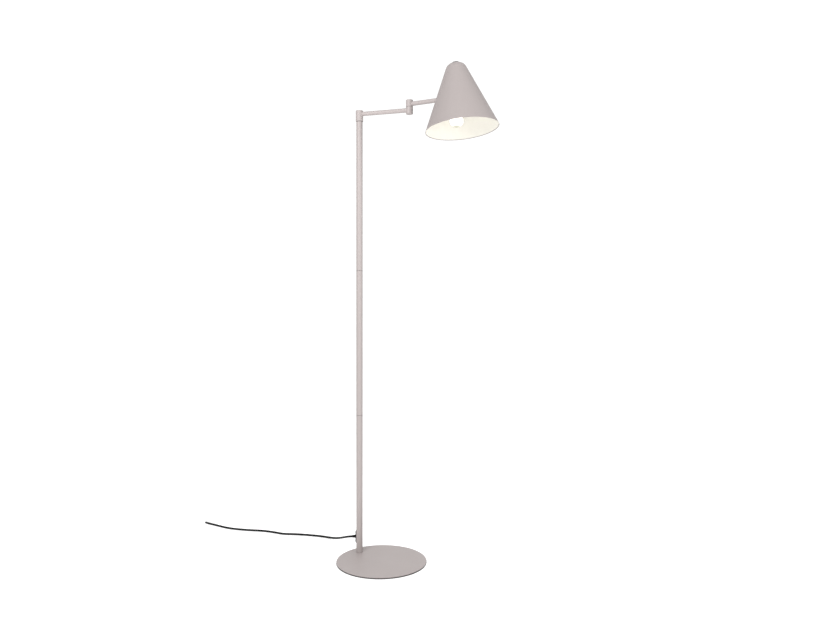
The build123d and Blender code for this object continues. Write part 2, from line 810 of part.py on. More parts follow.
with BuildPart() as mains_cord:
    add(mains_path)
    with BuildSketch(relief_frame):
        Circle(cord_radius)
    sweep()
    split(bisect_by=gland_face, keep=Keep.TOP)
save(mains_cord, "mains_cord")

with BuildPart() as cord_tail:
    add(tail_path)
    with BuildSketch(Plane(origin=tail_path @ 0, z_dir=tail_path % 0)):
        Circle(cord_radius)
    sweep()
save(cord_tail, "cord_tail")

with BuildPart() as strain_relief:
    with BuildSketch(profile(relief_frame)):
        with BuildLine():
            Polyline(
                (cord_radius, -strain_relief_root_diameter / 2),
                (strain_relief_root_diameter / 2, -strain_relief_root_diameter / 2),
                (strain_relief_root_diameter / 2, 0),
                (strain_relief_tip_diameter / 2, strain_relief_length),
                (cord_radius, strain_relief_length),
                close=True,
            )
        make_face()
    revolve(axis=turning_axis(relief_frame))
    split(bisect_by=gland_face, keep=Keep.TOP)
save(strain_relief, "strain_relief")

with BuildPart() as cord_coil:
    with BuildSketch(profile(upright(coil_centre, coil_lift))):
        with Locations((coil_mean_radius, coil_half_height)):
            RectangleRounded(2 * coil_half_width, 2 * coil_half_height, cord_radius)
    revolve(axis=turning_axis(upright(coil_centre, 0)))
save(cord_coil, "cord_coil")

tie_frame = Plane(
    origin=(*coil_centre, coil_lift),
    x_dir=(cos(radians(coil_tie_azimuth)), sin(radians(coil_tie_azimuth)), 0),
    z_dir=(0, 0, 1),
)
with BuildPart() as coil_tie:
    with BuildSketch(profile(tie_frame)):
        with Locations((coil_mean_radius, coil_half_height)):
            RectangleRounded(
                2 * (coil_half_width + coil_tie_thickness),
                2 * (coil_half_height + coil_tie_thickness),
                cord_radius + coil_tie_thickness,
            )
            RectangleRounded(
                2 * coil_half_width, 2 * coil_half_height, cord_radius, mode=Mode.SUBTRACT
            )
    revolve(axis=turning_axis(tie_frame), revolution_arc=coil_tie_angle)
save(coil_tie, "coil_tie")

# ---------------------------------------------------------------- plug, lying beside the coil
plug_frame = arm_frame(tail_route[-1], plug_height, 90)
plug_face = plug_tail_sleeve_length + plug_length
half_width, half_tail = plug_width / 2, plug_tail_width / 2

with BuildPart() as plug_body:
    with BuildSketch(plug_frame.offset(-plug_thickness / 2)):
        with BuildLine():
            Polyline(
                (plug_tail_sleeve_length, -half_tail),
                (plug_tail_sleeve_length + plug_flank_length, -half_tail),
                (plug_face - plug_flank_length, -half_width),
                (plug_face, -half_width),
                (plug_face, half_width),
                (plug_face - plug_flank_length, half_width),
                (plug_tail_sleeve_length + plug_flank_length, half_tail),
                (plug_tail_sleeve_length, half_tail),
                close=True,
            )
        make_face()
        fillet(vertices(), plug_corner_radius)
    extrude(amount=plug_thickness)
    fillet(plug_body.edges().group_by(Axis.Z)[-1] + plug_body.edges().group_by(Axis.Z)[0], plug_rounding)
    with BuildSketch(profile(plug_frame)):
        with BuildLine():
            Polyline(
                (0, 0),
                (0, strain_relief_tip_diameter / 2),
                (plug_tail_sleeve_length, plug_thickness / 2 - plug_sleeve_step),
                (plug_tail_sleeve_length, 0),
                close=True,
            )
        make_face()
    revolve(axis=Axis(plug_frame.origin, plug_frame.x_dir))
save(plug_body, "plug_body")

for pin_name, side in (("plug_pin_left", 1), ("plug_pin_right", -1)):
    with BuildPart() as plug_pin:
        with BuildSketch(across(plug_frame, plug_face)):
            with Locations((side * plug_pin_spacing / 2, 0)):
                Circle(plug_pin_diameter / 2)
        extrude(amount=plug_pin_length)
        fillet(plug_pin.faces().sort_by(Axis(plug_frame.origin, plug_frame.x_dir))[-1].edges(), plug_pin_rounding)
    save(plug_pin, pin_name)

for name, path, points in (("mains cord", mains_path, cord_route), ("cord tail", tail_path, tail_route)):
    print(name, round(path.length, 1), "mm long, radii", [round(r) for r in route_radii(points)])
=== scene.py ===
import json
import math

import bmesh
import bpy
from mathutils import Matrix, Vector


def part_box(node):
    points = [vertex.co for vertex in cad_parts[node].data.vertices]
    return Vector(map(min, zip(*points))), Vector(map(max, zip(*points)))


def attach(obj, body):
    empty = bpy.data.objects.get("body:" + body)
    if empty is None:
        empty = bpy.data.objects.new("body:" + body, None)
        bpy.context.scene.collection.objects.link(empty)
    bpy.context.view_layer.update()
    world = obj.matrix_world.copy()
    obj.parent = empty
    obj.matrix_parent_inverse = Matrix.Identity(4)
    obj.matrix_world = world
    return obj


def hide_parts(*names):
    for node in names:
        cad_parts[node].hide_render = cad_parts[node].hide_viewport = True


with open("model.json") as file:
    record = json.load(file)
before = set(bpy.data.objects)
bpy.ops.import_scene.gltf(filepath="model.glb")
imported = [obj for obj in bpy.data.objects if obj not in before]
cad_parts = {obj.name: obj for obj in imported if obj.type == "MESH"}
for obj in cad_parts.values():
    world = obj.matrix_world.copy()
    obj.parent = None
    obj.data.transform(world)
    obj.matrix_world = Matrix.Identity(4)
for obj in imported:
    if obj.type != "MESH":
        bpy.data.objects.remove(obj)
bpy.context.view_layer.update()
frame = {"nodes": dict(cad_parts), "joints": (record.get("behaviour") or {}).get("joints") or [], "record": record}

nodes = frame["nodes"]
joints = {j["name"]: j for j in frame["joints"]}

# ---------------------------------------------------------------- places read from the frame
TILT_PIVOT = Vector(joints["shade_tilt"]["pos_m"])
SHADE_UP = -Vector(joints["switch_press"]["axis"]).normalized()
TILT_AXIS = Vector(joints["shade_tilt"]["axis"]).normalized()
SHADE_OUT = SHADE_UP.cross(TILT_AXIS).normalized()


def placed(origin, up, out):
    """A frame whose Z is up and whose X is out, square to each other."""
    side = up.cross(out).normalized()
    return Matrix.Translation(origin) @ Matrix((out, side, up)).transposed().to_4x4()


SHADE_FRAME = placed(TILT_PIVOT, SHADE_UP, SHADE_OUT)


# ---------------------------------------------------------------- mesh helpers
def added(name, data):
    """A new object in the scene."""
    thing = bpy.data.objects.new(name, data)
    bpy.context.scene.collection.objects.link(thing)
    return thing


def mesh_from(name, bm):
    """A new mesh from a bmesh, which is freed."""
    mesh = bpy.data.meshes.new(name)
    bm.to_mesh(mesh)
    bm.free()
    return mesh


def eased(t):
    """A smooth step from 0 to 1."""
    return t * t * (3 - 2 * t)


def skinned(bm, rings, closed):
    """Faces between neighbouring rings, or rows of vertices if they aren't closed."""
    count = len(rings[0])
    for a, b in zip(rings, rings[1:]):
        for k in range(count if closed else count - 1):
            n = (k + 1) % count
            bm.faces.new((a[k], a[n], b[n], b[k]))


def capped(bm, rings):
    """Closed rings skinned over, with a face on each end."""
    skinned(bm, rings, True)
    bm.faces.new(rings[0])
    bm.faces.new(rings[-1])


def stands_for(piece, node):
    """Hides the CAD node that a piece stands in for, and gives the piece back."""
    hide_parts(node)
    return piece


def finish_mesh(name, bm, body, materials, sharp=35):
    """Turns a bmesh into a smooth-shaded piece that rides on a body."""
    bmesh.ops.remove_doubles(bm, verts=bm.verts, dist=1e-6)
    bmesh.ops.recalc_face_normals(bm, faces=bm.faces)
    mesh = mesh_from(name, bm)
    mesh.shade_smooth()
    mesh.set_sharp_from_angle(angle=math.radians(sharp))
    for finish in materials:
        mesh.materials.append(finish)
    piece = added(name, mesh)
    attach(piece, body)
    return piece


def turned(name, outline, place, body, materials, segments=128, sharp=35, flute=None):
    """A turned piece: a closed outline of (radius, height) points spun about its frame's Z.

    place gives the frame for a height, and flute may change a radius by its height and angle."""
    bm = bmesh.new()
    rings = []
    for radius, height in outline:
        matrix = place(height)
        if radius < 1e-7:
            rings.append([bm.verts.new(matrix @ Vector((0, 0, 0)))])
            continue
        ring = []
        for k in range(segments):
            angle = 2 * math.pi * k / segments
            reach = flute(radius, height, angle) if flute else radius
            spot = Vector((reach * math.cos(angle), reach * math.sin(angle), 0))
            ring.append(bm.verts.new(matrix @ spot))
        rings.append(ring)
    for a, b in zip(rings, rings[1:] + rings[:1]):
        for k in range(segments):
            n = (k + 1) % segments
            if len(a) == 1 and len(b) == 1:
                break
            if len(a) == 1:
                bm.faces.new((a[0], b[k], b[n]))
            elif len(b) == 1:
                bm.faces.new((a[k], b[0], a[n]))
            else:
                bm.faces.new((a[k], b[k], b[n], a[n]))
    return finish_mesh(name, bm, body, materials, sharp)


def straight(origin, direction):
    """The frames of a straight piece: heights run from origin along direction."""
    turn = direction.to_track_quat("Z", "X").to_matrix().to_4x4()
    return lambda height: Matrix.Translation(origin + direction * height) @ turn


def arc(centre, radius, start, end, steps):
    """Points along an arc of an outline, from one angle to another in degrees."""
    return [
        (
            centre[0] + radius * math.cos(math.radians(start + (end - start) * k / steps)),
            centre[1] + radius * math.sin(math.radians(start + (end - start) * k / steps)),
        )
        for k in range(steps + 1)
    ]


# ---------------------------------------------------------------- materials
def material(name, color, roughness, **sockets):
    """A new node material with its shader's own sockets set."""
    made = bpy.data.materials.new(name)
    made.use_nodes = True
    shader = made.node_tree.nodes["Principled BSDF"]
    shader.inputs["Base Color"].default_value = (*color, 1)
    shader.inputs["Roughness"].default_value = roughness
    for socket, value in sockets.items():
        shader.inputs[socket.replace("_", " ")].default_value = value
    return made, shader


def link(made, source, target):
    """Joins two sockets in a material."""
    made.node_tree.links.new(source, target)


def noise(made, scale, detail=2.0, stretch=(1, 1, 1)):
    """A noise texture in the object's own metres."""
    tree = made.node_tree
    place = tree.nodes.new("ShaderNodeTexCoord")
    mapping = tree.nodes.new("ShaderNodeMapping")
    mapping.inputs["Scale"].default_value = stretch
    texture = tree.nodes.new("ShaderNodeTexNoise")
    texture.inputs["Scale"].default_value = scale
    texture.inputs["Detail"].default_value = detail
    link(made, place.outputs["Object"], mapping.inputs["Vector"])
    link(made, mapping.outputs["Vector"], texture.inputs["Vector"])
    return texture


def ramp(made, source, low, high, color_low, color_high):
    """A colour ramp between two values of a texture."""
    made_ramp = made.node_tree.nodes.new("ShaderNodeValToRGB")
    first, last = made_ramp.color_ramp.elements
    first.position, last.position = low, high
    first.color, last.color = (*color_low, 1), (*color_high, 1)
    link(made, source, made_ramp.inputs["Fac"])
    return made_ramp.outputs["Color"]


def bump(made, shader, height, strength, distance):
    """Bump from a texture's height, in metres."""
    node = made.node_tree.nodes.new("ShaderNodeBump")
    node.inputs["Strength"].default_value = strength
    node.inputs["Distance"].default_value = distance
    link(made, height, node.inputs["Height"])
    link(made, node.outputs["Normal"], shader.inputs["Normal"])


def shaded(color, factor):
    """A colour made darker or lighter."""
    return tuple(c * factor for c in color)


def color_mix(tree):
    """A colour mix node's sockets: factor, first colour, second colour and result."""
    node = tree.nodes.new("ShaderNodeMix")
    node.data_type = "RGBA"
    return node.inputs[0], node.inputs[6], node.inputs[7], node.outputs[2]


def powder_coat(name, color, roughness=0.52):
    """Fine powder coat: a faint orange peel, and speckles of a slightly different shade."""
    made, shader = material(name, color, roughness)
    grain = noise(made, 900, 3)
    tint = ramp(made, grain.outputs["Fac"], 0.3, 0.7, shaded(color, 0.965), shaded(color, 1.03))
    link(made, tint, shader.inputs["Base Color"])
    patches = noise(made, 14, 2)
    gloss = ramp(
        made, patches.outputs["Fac"], 0.3, 0.7, (roughness - 0.04,) * 3, (roughness + 0.05,) * 3
    )
    link(made, gloss, shader.inputs["Roughness"])
    peel = noise(made, 1300, 2)
    bump(made, shader, peel.outputs["Fac"], 0.25, 0.00012)
    return made


def plated(name, color, roughness):
    """Zinc or nickel plate with faint drawing lines."""
    made, shader = material(name, color, roughness, Metallic=1.0)
    lines = noise(made, 500, 4, (1, 1, 14))
    gloss = ramp(
        made, lines.outputs["Fac"], 0.3, 0.7, (roughness - 0.07,) * 3, (roughness + 0.09,) * 3
    )
    link(made, gloss, shader.inputs["Roughness"])
    bump(made, shader, lines.outputs["Fac"], 0.15, 0.00005)
    return made


def webbing(name, color, roughness):
    """Woven tape: crossed waves of thread, with a little fuzz."""
    made, shader = material(name, color, roughness, Sheen_Weight=0.4)
    tree = made.node_tree
    place = tree.nodes.new("ShaderNodeTexCoord")
    heights = []
    for direction in ("X", "Z"):
        threads = tree.nodes.new("ShaderNodeTexWave")
        threads.bands_direction = direction
        threads.inputs["Scale"].default_value = 350
        threads.inputs["Distortion"].default_value = 1.5
        link(made, place.outputs["Object"], threads.inputs["Vector"])
        heights.append(threads.outputs["Fac"])
    crossed = tree.nodes.new("ShaderNodeMath")
    crossed.operation = "MULTIPLY"
    link(made, heights[0], crossed.inputs[0])
    link(made, heights[1], crossed.inputs[1])
    tint = ramp(made, crossed.outputs["Value"], 0.1, 0.9, shaded(color, 0.6), shaded(color, 1.6))
    link(made, tint, shader.inputs["Base Color"])
    bump(made, shader, crossed.outputs["Value"], 0.6, 0.0002)
    return made


def moulded(name, color, roughness, grain_scale=1500, gloss=0.5):
    """Moulded plastic with a fine spark-eroded texture."""
    made, shader = material(name, color, roughness, Specular_IOR_Level=gloss)
    grain = noise(made, grain_scale, 3)
    tint = ramp(made, grain.outputs["Fac"], 0.35, 0.65, shaded(color, 0.9), shaded(color, 1.12))
    link(made, tint, shader.inputs["Base Color"])
    bump(made, shader, grain.outputs["Fac"], 0.2, 0.00008)
    return made


GREIGE = (0.375, 0.333, 0.325)
stand_paint = powder_coat("stand_paint", GREIGE)
# painted shade: the lampshade wears the stand's own greige, made darker by 0.84 to take away light that falls on
# it
LAMPSHADE_GREIGE_PAINTED_SHADE = shaded(GREIGE, 0.84)
shade_paint = powder_coat("shade_paint", LAMPSHADE_GREIGE_PAINTED_SHADE, 0.6)
inner_white = powder_coat("shade_inner_white", (0.8, 0.78, 0.72), 0.6)
# near black for the base plate's edge and underside: in part painted contact shadow
base_edge_dark_painted_shadow = powder_coat("base_edge_dark_and_painted_shadow", (0.045, 0.038, 0.037), 0.6)
zinc = plated("zinc_plate", (0.62, 0.62, 0.6), 0.34)
nickel = plated("nickel_plate", (0.72, 0.7, 0.66), 0.22)
nylon = moulded("black_nylon", (0.035, 0.034, 0.033), 0.5)
foam = moulded("floor_foam", (0.02, 0.02, 0.02), 0.9, 600)
cord_sheath = moulded("cord_sheath", (0.004, 0.004, 0.004), 0.6, 700, 0.2)
rubber = moulded("soft_black_rubber", (0.005, 0.005, 0.005), 0.7, 900, 0.15)
plug_black = moulded("plug_black", (0.01, 0.01, 0.01), 0.45, 1100, 0.35)
holder_white = moulded("holder_ivory", (0.8, 0.78, 0.72), 0.35, 800)
strap_webbing = webbing("strap_webbing", (0.012, 0.012, 0.013), 0.8)
switch_black = moulded("switch_black", (0.008, 0.008, 0.008), 0.5, 1600, 0.2)

BULB_GLOW = 2.2
# painted shade: the bulb's lowest 12 mm fade to a dim, darker glow and colour, for the shaded lower edge of the
# bulb
BULB_TIP_PAINTED_SHADE_SPAN = 0.012
bulb_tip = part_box("bulb_glass")[0].z
bulb_opal, bulb_shader = material("bulb_opal_lit", (0.98, 0.95, 0.88), 0.35)
bulb_shader.inputs["Emission Strength"].default_value = BULB_GLOW
bulb_place = bulb_opal.node_tree.nodes.new("ShaderNodeTexCoord")
bulb_height = bulb_opal.node_tree.nodes.new("ShaderNodeSeparateXYZ")
bulb_rise = bulb_opal.node_tree.nodes.new("ShaderNodeMapRange")
bulb_rise.inputs["From Min"].default_value = bulb_tip
bulb_rise.inputs["From Max"].default_value = bulb_tip + BULB_TIP_PAINTED_SHADE_SPAN
link(bulb_opal, bulb_place.outputs["Object"], bulb_height.inputs["Vector"])
link(bulb_opal, bulb_height.outputs["Z"], bulb_rise.inputs["Value"])
# at the tip, glow and colour are darker: painted shade on the bulb's lower edge
for bulb_socket, tip_painted_shade, above in (
    ("Emission Color", (0.08, 0.077, 0.05), (1, 0.95, 0.86)),
    ("Base Color", (0.42, 0.41, 0.33), (0.98, 0.95, 0.88)),
):
    bulb_tint = ramp(bulb_opal, bulb_rise.outputs["Result"], 0.1, 1.0, tip_painted_shade, above)
    link(bulb_opal, bulb_tint, bulb_shader.inputs[bulb_socket])

NODE_MATERIALS = {
    "stand_paint": stand_paint,
    "shade_paint": shade_paint,
    "zinc_steel": zinc,
    "washer_nylon": nylon,
    "foam_pad": foam,
    "cord_black": rubber,
    "plug_black": plug_black,
    "pin_nickel": nickel,
    "cap_nickel": nickel,
    "holder_white": holder_white,
    "bulb_opal": bulb_opal,
    "switch_black": switch_black,
}


def dress_nodes():
    """Gives every CAD node its slot's material."""
    for part in frame["record"]["subparts"]:
        mesh = nodes[part["node"]].data
        mesh.materials.clear()
        mesh.materials.append(NODE_MATERIALS[part["material_slot"]])


dress_nodes()

RIM_BAND = 0.0016


def wrap_rim_paint():
    """Lets the outer paint wrap a narrow band inside the rim, under the white lining."""
    tree = inner_white.node_tree
    shader = tree.nodes["Principled BSDF"]
    lining = shader.inputs["Base Color"].links[0].from_socket
    shell = nodes["shade_shell"].data
    rim = min((vertex.co - TILT_PIVOT).dot(SHADE_UP) for vertex in shell.vertices)
    place = tree.nodes.new("ShaderNodeTexCoord")
    along_axis = tree.nodes.new("ShaderNodeVectorMath")
    along_axis.operation = "DOT_PRODUCT"
    along_axis.inputs[1].default_value = SHADE_UP
    past_band = tree.nodes.new("ShaderNodeMath")
    past_band.operation = "GREATER_THAN"
    past_band.inputs[1].default_value = TILT_PIVOT.dot(SHADE_UP) + rim + RIM_BAND
    link(inner_white, place.outputs["Object"], along_axis.inputs[0])
    link(inner_white, along_axis.outputs["Value"], past_band.inputs[0])
    fac, outer_paint, inner_paint, mixed = color_mix(tree)
    # the band takes the lampshade's greige, with its painted shade
    outer_paint.default_value = (*LAMPSHADE_GREIGE_PAINTED_SHADE, 1)
    link(inner_white, past_band.outputs["Value"], fac)
    link(inner_white, lining, inner_paint)
    link(inner_white, mixed, shader.inputs["Base Color"])


def line_shade():
    """Paints the faces of the shade that look at its axis white, and the rest greige."""
    mesh = nodes["shade_shell"].data
    mesh.materials.append(inner_white)
    inverse = SHADE_FRAME.inverted()
    turn = inverse.to_3x3()
    for face in mesh.polygons:
        centre, normal = (inverse @ face.center).xy, (turn @ face.normal).xy
        inward = -centre.dot(normal) / max(centre.length, 1e-6)
        face.material_index = 1 if inward > 0.5 else 0


wrap_rim_paint()
line_shade()


def darken_base_edge_painted_shadow():
    """Paints the base plate's cut edge and underside near black, under the greige top: a dark edge that is in part
    painted contact shadow.
    """
    mesh = nodes["base_plate"].data
    mesh.materials.append(base_edge_dark_painted_shadow)
    for face in mesh.polygons:
        # faces that don't look up go near black, in part as painted contact shadow
        face.material_index = 1 if face.normal.z < 0.5 else 0


darken_base_edge_painted_shadow()

# ---------------------------------------------------------------- mains lead
CORD_DIAMETER = 0.006
CORD_HEIGHT = 0.0031
COIL_CENTRE = Vector((-0.742, -0.130))
COIL_OUTER = 0.034
COIL_INNER = 0.028
COIL_FIRST_HEIGHT = 0.0044
POINTS_PER_TURN = 16

gland_low, gland_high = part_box("cord_gland")
CORD_EXIT = Vector((gland_low.x, 0, (gland_low.z + gland_high.z) / 2))

lead_route = [
    CORD_EXIT,
    (-0.142, 0.0006, 0.037),
    (-0.177, 0.005, 0.024),
    (-0.213, 0.013, 0.012),
    (-0.247, 0.019, 0.004),
    (-0.283, 0.008, CORD_HEIGHT),
    (-0.318, -0.012, CORD_HEIGHT),
    (-0.355, -0.037, CORD_HEIGHT),
    (-0.380, -0.061, CORD_HEIGHT),
    (-0.414, -0.0715, CORD_HEIGHT),
    (-0.450, -0.087, CORD_HEIGHT),
    (-0.494, -0.121, CORD_HEIGHT),
    (-0.549, -0.152, CORD_HEIGHT),
    (-0.606, -0.1635, CORD_HEIGHT),
    (-0.655, -0.176, CORD_HEIGHT),
    (-0.702, -0.170, (CORD_HEIGHT + COIL_FIRST_HEIGHT) / 2),
]

# The coil's turns, bottom layer first: each is (radius, layer).
COIL_TURNS = [
    (COIL_OUTER, 0),
    (COIL_INNER, 0),
    (COIL_INNER, 1),
    (COIL_OUTER, 1),
    (COIL_OUTER, 2),
]
EASE_START = 0.7


def coil_points():
    """The turns run clockwise from the coil's -Y side, each easing into the next near its end."""
    points = []
    count = len(COIL_TURNS) * POINTS_PER_TURN + POINTS_PER_TURN // 4 + 1
    for k in range(count):
        turn, step = divmod(k, POINTS_PER_TURN)
        here = COIL_TURNS[min(turn, len(COIL_TURNS) - 1)]
        after = COIL_TURNS[min(turn + 1, len(COIL_TURNS) - 1)]
        ease = eased(max(0.0, step / POINTS_PER_TURN - EASE_START) / (1 - EASE_START))
        radius = here[0] + (after[0] - here[0]) * ease
        layer = here[1] + (after[1] - here[1]) * ease
        # control points stand a little outside the circle that the spline follows
        radius /= math.cos(math.pi / POINTS_PER_TURN) ** 0.5
        angle = -math.pi / 2 - 2 * math.pi * k / POINTS_PER_TURN
        points.append(
            (
                COIL_CENTRE.x + radius * math.cos(angle),
                COIL_CENTRE.y + radius * math.sin(angle),
                COIL_FIRST_HEIGHT + layer * CORD_DIAMETER,
            )
        )
    return points


plug_low, plug_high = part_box("plug_body")
PLUG_TAIL = Vector(((plug_low.x + plug_high.x) / 2, plug_low.y, (plug_low.z + plug_high.z) / 2))
COIL_LAST_HEIGHT = COIL_FIRST_HEIGHT + COIL_TURNS[-1][1] * CORD_DIAMETER
tail_route = [
    (COIL_CENTRE.x - COIL_OUTER - 0.0003, COIL_CENTRE.y + 0.020, COIL_LAST_HEIGHT - 0.002),
    (COIL_CENTRE.x - COIL_OUTER + 0.002, COIL_CENTRE.y + 0.044, PLUG_TAIL.z),
    PLUG_TAIL,
]


def nurbs_line(name, points):
    """A curve of one open NURBS spline with these points as its control points."""
    curve = bpy.data.curves.new(name, "CURVE")
    curve.dimensions = "3D"
    curve.resolution_u = 10
    spline = curve.splines.new("NURBS")
    spline.points.add(len(points) - 1)
    for point, place in zip(spline.points, points):
        point.co = (*place, 1)
    spline.order_u = 3
    spline.use_endpoint_u = True
    return curve


def make_cord():
    """The lead from its gland through the coil to the plug, as one smooth curve."""
    curve = nurbs_line("mains_lead", [*lead_route, *coil_points(), *tail_route])
    curve.bevel_depth = CORD_DIAMETER / 2
    curve.bevel_resolution = 5
    curve.use_fill_caps = True
    curve.materials.append(cord_sheath)
    lead = added("mains_lead", curve)
    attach(lead, "stand")
    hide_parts("mains_cord", "cord_coil", "cord_tail")
    return lead


lead = make_cord()


def spline_line(curve):
    """The points that a curve's NURBS spline runs through."""
    bare = curve.copy()
    bare.bevel_depth = 0
    holder = bpy.data.objects.new("spline_line", bare)
    mesh = bpy.data.meshes.new_from_object(holder)
    points = [v.co.copy() for v in mesh.vertices]
    bpy.data.objects.remove(holder)
    bpy.data.meshes.remove(mesh)
    bpy.data.curves.remove(bare)
    return points


def along(points):
    """The frames of a piece that follows a line: heights are distances along it."""

    def place(distance):
        left = max(distance, 0)
        for a, b in zip(points, points[1:]):
            step = (b - a).length
            if left <= step:
                break
            left -= step
        direction = (b - a).normalized()
        turn = direction.to_track_quat("Z", "X").to_matrix().to_4x4()
        return Matrix.Translation(a + direction * left) @ turn

    return place


RELIEF_LENGTH = 0.020
RELIEF_ROOT_RADIUS = 0.0045
RELIEF_TIP_RADIUS = 0.0036
RELIEF_RIBS = 6
RELIEF_RIB_SHARE = 0.55
RELIEF_GROOVE_DEPTH = 0.0006
RELIEF_SKIN = 0.0002


def make_strain_relief():
    """A tapered rubber boot with grooves round it, on the lead where it leaves the gland."""
    outline = [(CORD_DIAMETER / 2, RELIEF_SKIN)]
    rib = RELIEF_LENGTH / RELIEF_RIBS
    steps = RELIEF_RIBS * 10
    for k in range(steps + 1):
        distance = RELIEF_SKIN + (RELIEF_LENGTH - 2 * RELIEF_SKIN) * k / steps
        taper = distance / RELIEF_LENGTH
        radius = RELIEF_ROOT_RADIUS + (RELIEF_TIP_RADIUS - RELIEF_ROOT_RADIUS) * taper
        in_groove = ((distance / rib) % 1 - RELIEF_RIB_SHARE) / (1 - RELIEF_RIB_SHARE)
        groove = RELIEF_GROOVE_DEPTH * math.sin(math.pi * in_groove) if in_groove > 0 else 0.0
        outline.append((max(radius - groove, CORD_DIAMETER / 2 + RELIEF_SKIN), distance))
    outline.append((CORD_DIAMETER / 2, RELIEF_LENGTH))
    boot = turned("strain_relief_boot", outline, along(spline_line(lead.data)), "stand", [rubber], 48)
    return stands_for(boot, "strain_relief")


def superellipse(half_width, half_height, power, angle):
    """A point of a rounded rectangle's outline; a higher power gives squarer corners."""
    c, s = math.cos(angle), math.sin(angle)
    return (
        half_width * math.copysign(abs(c) ** (2 / power), c),
        half_height * math.copysign(abs(s) ** (2 / power), s),
    )


PLUG_LENGTH = plug_high.y - plug_low.y
PLUG_HALF_WIDTH = (plug_high.x - plug_low.x) / 2
PLUG_HALF_HEIGHT = (plug_high.z - plug_low.z) / 2
PLUG_SLEEVE = 0.020
PLUG_SLEEVE_RADIUS = 0.0036
PLUG_SLEEVE_FLARE = 0.0021
PLUG_SLEEVE_RIBS = 5
PLUG_SLEEVE_GROOVE = 0.0006
PLUG_SHOULDER = 0.0075
PLUG_GRIP_GROOVES = 4
PLUG_GRIP_DEPTH = 0.0007
PLUG_GRIP_SIDE_DEPTH = 0.0006
PLUG_ROUNDING = 0.0022
PLUG_SQUARENESS = 3.6


def plug_section(distance):
    """The plug's half width, half height and squareness at a distance from its tail."""
    if distance < PLUG_SLEEVE:
        taper = distance / PLUG_SLEEVE
        radius = PLUG_SLEEVE_RADIUS + PLUG_SLEEVE_FLARE * taper
        phase = (taper * PLUG_SLEEVE_RIBS) % 1
        if phase > 0.5:
            radius -= PLUG_SLEEVE_GROOVE * math.sin(math.pi * (phase - 0.5) / 0.5)
        return radius, radius, 2
    body = (distance - PLUG_SLEEVE) / (PLUG_LENGTH - PLUG_SLEEVE)
    flare = eased(min(1.0, max(0.0, (body - 0.22) / 0.5)))
    half_width = PLUG_SHOULDER + (PLUG_HALF_WIDTH - PLUG_SHOULDER) * flare
    half_height = PLUG_HALF_HEIGHT
    grip = (body - 0.30) / 0.40
    if 0 < grip < 1:
        dent = 0.5 - 0.5 * math.cos(2 * math.pi * grip * PLUG_GRIP_GROOVES)
        half_height -= PLUG_GRIP_DEPTH * dent
        half_width -= PLUG_GRIP_SIDE_DEPTH * dent
    ends = min(1.0, body / 0.10, (1 - body) / 0.06)
    rounding = PLUG_ROUNDING * (1 - math.sqrt(max(0.0, 1 - (1 - ends) ** 2)))
    return half_width - rounding, half_height - rounding, PLUG_SQUARENESS


def make_plug():
    """A moulded two-pin plug: a ribbed tail, a flared grip with finger grooves and a flat face."""
    steps, around = 160, 96
    bm = bmesh.new()
    rings = []
    for k in range(steps + 1):
        distance = PLUG_LENGTH * k / steps
        half_width, half_height, power = plug_section(distance)
        ring = []
        for j in range(around):
            x, z = superellipse(half_width, half_height, power, 2 * math.pi * j / around)
            ring.append(bm.verts.new((PLUG_TAIL.x + x, plug_low.y + distance, PLUG_TAIL.z + z)))
        rings.append(ring)
    capped(bm, rings)
    plug = finish_mesh("plug_moulding", bm, "stand", [plug_black], 50)
    return stands_for(plug, "plug_body")



STRAP_HALF_WIDTH = 0.0042
STRAP_THICKNESS = 0.0011
STRAP_MARGIN = 0.0012
STRAP_TURNS = 1.2
STRAP_LAP_START = 0.9
STRAP_LAP_GAP = 0.0001
STRAP_SQUARENESS = 3.2


def make_coil_tie():
    """A hook-and-loop strap wrapped round the coil's runs, its free end lapped over the top."""
    low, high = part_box("coil_tie")
    node = nodes["coil_tie"].data
    spokes = [math.atan2(v.co.y - COIL_CENTRE.y, v.co.x - COIL_CENTRE.x) for v in node.vertices]
    middle = (max(spokes) + min(spokes)) / 2
    outward = Vector((math.cos(middle), math.sin(middle), 0))
    sideways = Vector((-math.sin(middle), math.cos(middle), 0))
    reaches = [(v.co.xy - COIL_CENTRE).length for v in node.vertices]
    centre = Vector((*COIL_CENTRE, (low.z + high.z) / 2))
    centre += outward * (min(reaches) + max(reaches)) / 2
    half_out = (max(reaches) - min(reaches)) / 2 - STRAP_MARGIN
    half_up = (high.z - low.z) / 2 - STRAP_MARGIN
    corners = ((STRAP_THICKNESS, -1), (0, -1), (0, 1), (STRAP_THICKNESS, 1))
    steps = 150
    bm = bmesh.new()
    rings = []
    for k in range(steps + 1):
        turn = STRAP_TURNS * k / steps
        angle = math.pi / 2 - 2 * math.pi * turn
        lapped = min(1.0, max(0.0, (turn - STRAP_LAP_START) / (1 - STRAP_LAP_START)))
        lap = lapped * (STRAP_THICKNESS + STRAP_LAP_GAP)
        ring = []
        for inset, side in corners:
            x, z = superellipse(half_out - inset + lap, half_up - inset + lap, STRAP_SQUARENESS, angle)
            spot = centre + outward * x + Vector((0, 0, z)) + sideways * (side * STRAP_HALF_WIDTH)
            ring.append(bm.verts.new(spot))
        rings.append(ring)
    capped(bm, rings)
    strap = finish_mesh("coil_strap", bm, "stand", [strap_webbing], 40)
    return stands_for(strap, "coil_tie")


make_strain_relief()
make_coil_tie()
make_plug()

# ---------------------------------------------------------------- lampholder
HOLDER_BORE = 0.0069
HOLDER_BORE_DEPTH = 0.022
HOLDER_EDGE = 0.0006
HOLDER_SKIRT = (0.0012, 0.0180)
HOLDER_GROOVE = 0.0009
HOLDER_COLLAR = (0.0208, 0.0238)
HOLDER_SHOULDER_RADIUS = 0.005
HOLDER_NECK_RADIUS = 0.005
HOLDER_NECK_LENGTH = 0.004
HOLDER_FLUTES = 30
HOLDER_FLUTE_DEPTH = 0.0005


